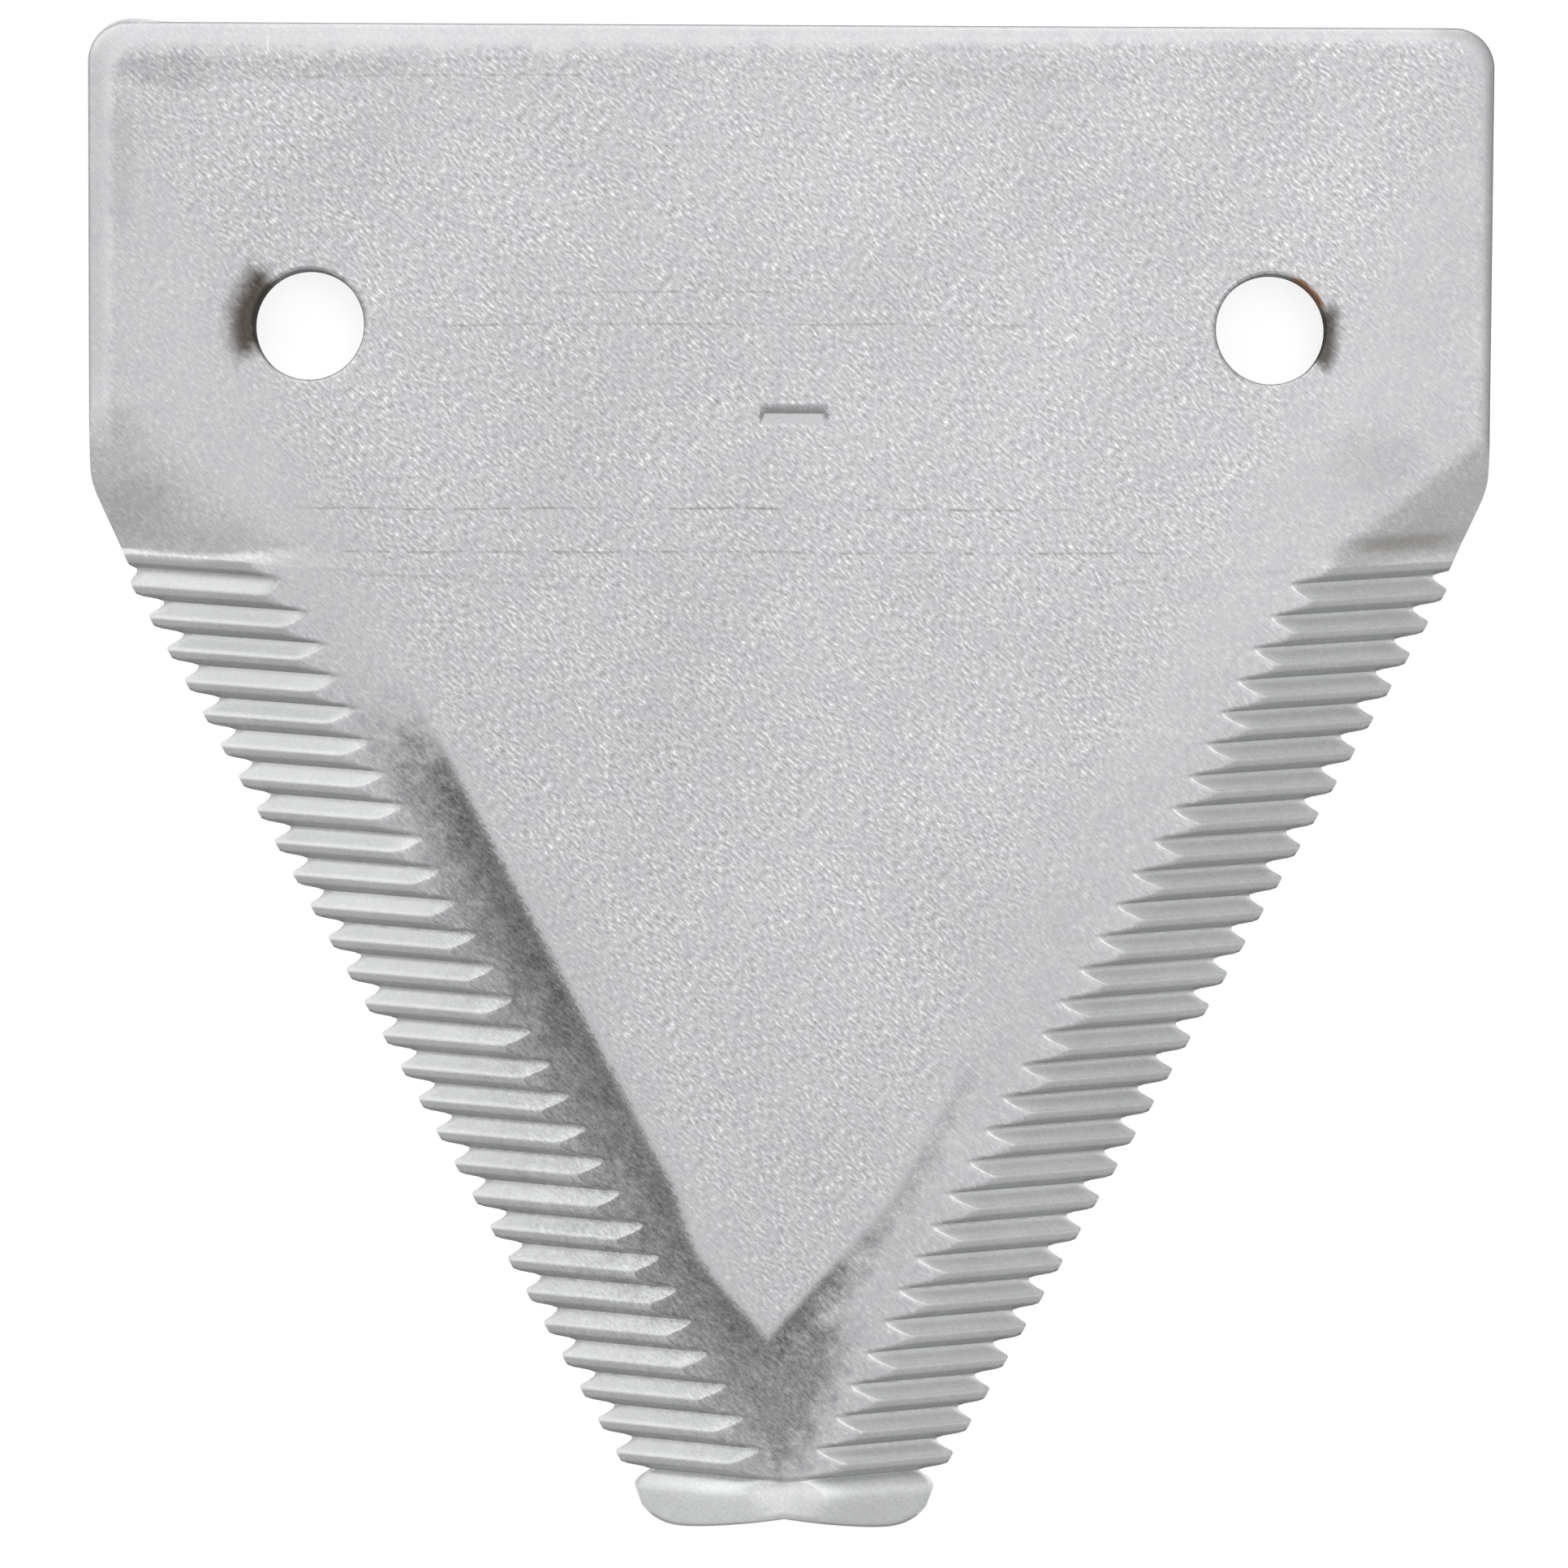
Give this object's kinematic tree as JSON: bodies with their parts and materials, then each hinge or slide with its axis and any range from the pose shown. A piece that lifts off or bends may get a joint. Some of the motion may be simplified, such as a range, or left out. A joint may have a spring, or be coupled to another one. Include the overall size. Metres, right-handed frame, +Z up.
{
  "type": "mower sickle section",
  "caption": "Flat steel knife section with a serrated bevel along each slanted cutting edge, a blunt tip and bolt holes in its heel, bolted to a mower's knife bar to shear crop.",
  "frame": {"origin": "middle of the bolt hole pair, on the underside that seats on the knife bar", "axes": "+X across the heel from one bolt hole to the other, +Y from the tip to the back edge, +Z up to the serrated face"},
  "size_m": [0.076, 0.0813, 0.003],
  "materials": {
    "steel": "matt, fine grain, light grey"
  },
  "bodies": {
    "root": {"sickle_section": "steel"}
  },
  "joints": []
}
